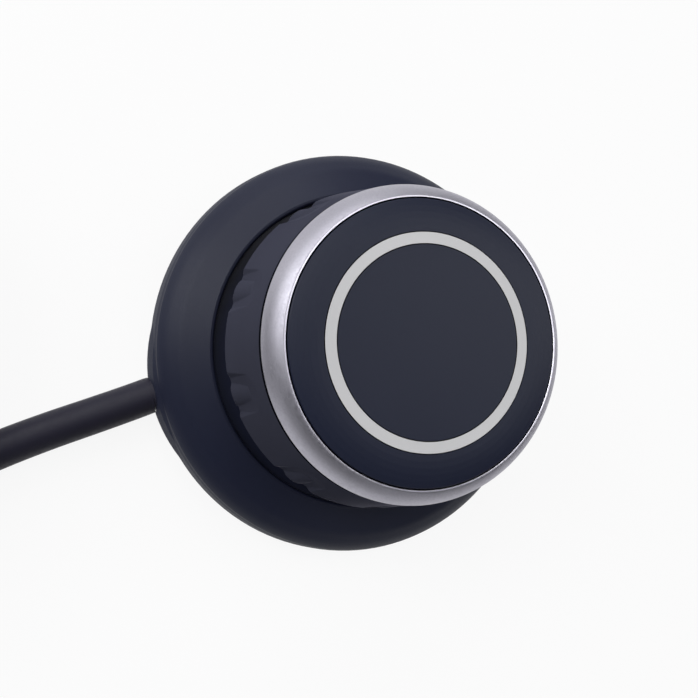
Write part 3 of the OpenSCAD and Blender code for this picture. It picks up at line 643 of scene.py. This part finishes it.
# Encoder
# A bought part under the knob: a black body with a metal top and bushing, a white coder disc, a steel shaft
# with one flat, and a snap dome below the shaft for the click. Lamps stand round it on the upper board.
dome_z = 6 * mm
dome_h = 0.5 * mm
dome_t = 0.12 * mm
dome_r = 2.4 * mm
dome_rim = 0.3 * mm
dome_pull = (0.5 * dome_r, 0.6 * dome_r)
dome_share = np.linspace(0.1, 1, 10)
dome_around = 48
dome_crease = 40


def bend(start, pull, end, share):
    """Distance and height at shares of the quadratic curve from start to end that is drawn towards pull."""
    t = share[:, None]
    return (1 - t) ** 2 * np.array(start) + 2 * t * (1 - t) * np.array(pull) + t**2 * np.array(end)


def revolved(section, around):
    """A section of distances and heights carried once round the axis."""
    angle = np.linspace(0, 2 * np.pi, around, endpoint=False)
    r, z = section[:, :1], section[:, 1:]
    return np.stack([r * np.cos(angle), r * np.sin(angle), np.broadcast_to(z, (len(z), around))], axis=2)


def dome_points():
    """A thin bowl upside down: the quadratic bend of its inside from near the axis to the rim, and that of
    its outside back again. Flat caps close the middle of both."""
    crown = dome_z + dome_h
    roof = crown - dome_t
    inside = bend((0, roof), (dome_pull[0], roof), (dome_r - dome_rim, dome_z), dome_share)
    outside = bend((0, crown), (dome_pull[1], crown), (dome_r, dome_z + dome_t), dome_share)
    return revolved(np.concatenate([inside, [(dome_r, dome_z)], outside[::-1]]), dome_around)


snap_dome = make_piece("snap_dome", dome_points(), capped=True, crease=dome_crease, material=screw_steel)
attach(snap_dome, "base")
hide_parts("switch_dome")
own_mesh(snap_dome)
for node in ("encoder_case", "encoder_washer", "encoder_shaft"):
    finish_node(node, screw_steel)
finish_node("encoder_rotor", milky_plastic)
finish_node("light_leds", milky_plastic)

# Carrier
# A black moulding inside the grip that joins the knob to the shaft: a hub with a steel clip round it, spokes,
# and a skirt whose lower end shows in the well.
finish_node("knob_core", plain_plastic)
finish_node("hub_clip", screw_steel)

# Grip
# A soft-touch sleeve pushed on the carrier, flared to its lower edge, with painted shade in a band at its
# top under the trim. Ten shallow hollows run up from the underside and out between wide pads, with a rounded
# lobe in each, level with the pads.
grip_low = 13.65 * mm
grip_top = 24.15 * mm
grip_low_r = 19.3 * mm
grip_top_r = 17.05 * mm
grip_bore_r = 16.05 * mm
grip_round = 0.7 * mm
grip_top_round = 0.2 * mm
grip_top_drop = 0.3 * grip_top_round
grip_groups = 10
grip_turn = math.radians(22.8)
grip_crease = 50
hollow_half = 2.65 * mm
hollow_margin = 0.15 * mm
hollow_side = 0.6 * mm
hollow_depth = 0.48 * mm
hollow_len = 7.2 * mm
lobe_r = 2.25 * mm
lobe_len = 4.9 * mm
lobe_drop = 0.03 * mm
corner_rows = 9
side_rows = 81
bore_rows = 5
under_rows = 9
hollow_columns = 73
pad_columns = 13
painted_shade_z = 23.5 * mm
painted_shade_tone = 0.1
sheen_weight = 0.3
sheen_roughness = 0.12
sheen_tint = (0.86, 0.84, 1, 1)


def grip_points():
    """The flared section carried round the axis, less the hollows. Across a hollow, the surface is the
    highest of three: a floor, two sides that slope up from it to the pads, and the lobe's round, which stops
    at its end. Floor and sides rise evenly up the grip, so that the hollow runs out at its length. Whatever
    this leaves under the flare is the new radius. The columns stand close in the hollows and wide apart on
    the pads."""
    corner = np.linspace(0, np.pi / 2, corner_rows)
    share = np.linspace(0, 1, side_rows)
    side_low, side_top = grip_low + grip_round, grip_top - grip_top_round
    side_top_r = grip_top_r + grip_top_round / 2
    bore = np.linspace(grip_top, grip_low, bore_rows)
    under_r = np.linspace(grip_bore_r, grip_low_r - grip_round, under_rows)[1:-1]
    r = np.concatenate([
        under_r,
        grip_low_r - grip_round + grip_round * np.sin(corner),
        grip_low_r + (side_top_r - grip_low_r) * share[1:],
        [grip_top_r, grip_top_r - grip_top_round / 2],
        np.full(len(bore), grip_bore_r),
    ])[:, None]
    z = np.concatenate([
        np.full(len(under_r), grip_low),
        side_low - grip_round * np.cos(corner),
        side_low + (side_top - side_low) * share[1:],
        [grip_top - grip_top_drop, grip_top],
        bore,
    ])[:, None]
    step = 2 * np.pi / grip_groups
    hollow_turn = (hollow_half + hollow_margin) / grip_low_r
    group = np.concatenate([
        np.linspace(-hollow_turn, hollow_turn, hollow_columns),
        np.linspace(hollow_turn, step - hollow_turn, pad_columns)[1:-1],
    ])
    angle = (grip_turn + np.arange(grip_groups)[:, None] * step + group).ravel()
    off = np.tile(np.where(group > step / 2, group - step, group), grip_groups)
    aside = r * np.abs(np.sin(off))
    fall = r * (1 - np.cos(off))
    slope = math.atan2(grip_low_r - side_top_r, side_top - side_low)
    height = (z - side_low) / math.cos(slope)
    edge_fall = grip_low_r - math.sqrt(grip_low_r**2 - hollow_half**2)
    sides = (aside - hollow_half) * (hollow_depth - edge_fall) / hollow_side - edge_fall
    scoop = np.maximum(sides, -hollow_depth) + height * hollow_depth / hollow_len
    lobe = np.sqrt(np.maximum(lobe_r**2 - aside**2, 0)) - lobe_r - lobe_drop
    surface = np.where(height < lobe_len, np.maximum(scoop, lobe), scoop)
    flared = grip_low_r - (z - side_low) * math.tan(slope)
    cut = np.minimum(r, flared + (surface + fall) / math.cos(slope))
    radius = np.where(r > grip_bore_r, cut, r)
    z_all = np.broadcast_to(z, radius.shape)
    return np.stack([radius * np.cos(angle), radius * np.sin(angle), z_all], axis=2)


grip_rubber = moulded(
    "grip_rubber",
    dark=(0.048, 0.050, 0.072),
    pale=(0.054, 0.056, 0.080),
    roughness=(0.72, 0.80),
    fineness=3500,
    relief=0.008 * mm,
    gloss=0,
)
soft_touch = grip_rubber.node_tree.nodes["Principled BSDF"].inputs
soft_touch["Sheen Weight"].default_value = sheen_weight
soft_touch["Sheen Roughness"].default_value = sheen_roughness
soft_touch["Sheen Tint"].default_value = sheen_tint
# Painted shade: the grip's colour is cut to a tenth in a band at its top, where the trim's edge shades it.
in_painted_shade = round_mask(grip_rubber, "Height", "GREATER_THAN", painted_shade_z)
scale_where(grip_rubber, in_painted_shade, "Base Color", painted_shade_tone)
grip = make_piece("grip", grip_points(), capped=False, crease=grip_crease, material=grip_rubber)
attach(grip, "knob")
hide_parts("knob_grip")

# Trim ring
# Turned from aluminium and given a satin finish: a rounded shoulder over the grip's upper edge, and a narrow
# flat at the top whose inner edge is cut bright and catches the light as a fine line.
trim_r = 17.18 * mm
trim_in_r = 15.2 * mm
trim_low = 24.15 * mm
trim_top = 26.5 * mm
trim_land = 0.25 * mm
trim_edge = 0.04 * mm
trim_pull = (trim_r - 0.41 * mm, trim_top - 0.84 * mm)
trim_rows = 33
trim_around = 360
trim_crease = 35
seat_z = 24.9 * mm
seat_r = 16.05 * mm
turned_lines = 9000
cut_r = trim_in_r + 0.17 * mm
cut_tone = 1.9
cut_roughness = 0.75
shaded_wall_r = trim_in_r + 0.015 * mm
wall_shade_tone = 0.01


def trim_points():
    """The shoulder is the quadratic bend from the lower edge to the flat, and the rest of the section follows
    the seat on the carrier's sleeve."""
    land = (trim_in_r + trim_land, trim_top)
    shoulder_bend = bend((trim_r, trim_low), trim_pull, land, np.linspace(0, 1, trim_rows))
    rest = [
        (trim_in_r + trim_edge, trim_top),
        (trim_in_r, trim_top - trim_edge),
        (trim_in_r, seat_z),
        (seat_r, seat_z),
        (seat_r, trim_low),
    ]
    return revolved(np.concatenate([shoulder_bend, rest]), trim_around)


def make_satin_silver():
    """Satin aluminium: fine rings left by turning are noise along the distance from the axis less the height,
    and stand out as a shallow bump. The edge of the flat is cut bright, and the wall below it is painted
    black as shade in the gap over the face."""
    material = metal(
        "satin_silver",
        dark=(0.45, 0.44, 0.50),
        pale=(0.51, 0.50, 0.56),
        roughness=(0.43, 0.63),
        fineness=4500,
        relief=0.006 * mm,
    )
    tree = material.node_tree
    bump = next(node for node in tree.nodes if node.type == "BUMP")
    place = tree.nodes.new("ShaderNodeGroup")
    place.node_tree = round_place
    rings_at = tree.nodes.new("ShaderNodeMath")
    rings_at.operation = "SUBTRACT"
    tree.links.new(place.outputs["Distance"], rings_at.inputs[0])
    tree.links.new(place.outputs["Height"], rings_at.inputs[1])
    rings = tree.nodes.new("ShaderNodeTexNoise")
    rings.noise_dimensions = "1D"
    rings.inputs["Scale"].default_value = turned_lines
    tree.links.new(rings_at.outputs[0], rings.inputs["W"])
    tree.links.new(rings.outputs["Fac"], bump.inputs["Height"])
    on_cut = round_mask(material, "Distance", "LESS_THAN", cut_r)
    scale_where(material, on_cut, "Base Color", cut_tone)
    scale_where(material, on_cut, "Roughness", cut_roughness)
    # Painted shade: the inner wall's colour is cut to nearly black, as the gap to the face is dark.
    on_shaded_wall = round_mask(material, "Distance", "LESS_THAN", shaded_wall_r)
    scale_where(material, on_shaded_wall, "Base Color", wall_shade_tone)
    return material


satin_silver = make_satin_silver()
trim = make_piece("trim", trim_points(), capped=False, crease=trim_crease, material=satin_silver)
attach(trim, "knob")
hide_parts("trim_ring")

# Face
# A milky disc lies on the carrier, and its raised ring shows flush between two black plates: a rim that falls
# a little to its edge, and a round centre. The ring's edges carry painted shade where they meet the plates.
ring_white_r = (10.245 * mm, 11.415 * mm)
edge_shade_tone = 0.01
edge_shade_roughness = 2
face_plastic = moulded(
    "face_plastic",
    dark=(0.0118, 0.0151, 0.0335),
    pale=(0.0128, 0.0163, 0.0354),
    roughness=(0.40, 0.48),
    fineness=5000,
    relief=0.004 * mm,
    gloss=0.27,
)
light_guide = milky_plastic.copy()
light_guide.name = "light_guide"
# Painted shade: the ring is made nearly black inside and outside its white span, next to the plates.
for side, limit in zip(("LESS_THAN", "GREATER_THAN"), ring_white_r):
    painted_edge_shade = round_mask(light_guide, "Distance", side, limit)
    scale_where(light_guide, painted_edge_shade, "Base Color", edge_shade_tone)
    scale_where(light_guide, painted_edge_shade, "Roughness", edge_shade_roughness)
finish_node("light_ring", light_guide)
finish_node("face_rim", face_plastic)
finish_node("face_disc", face_plastic)
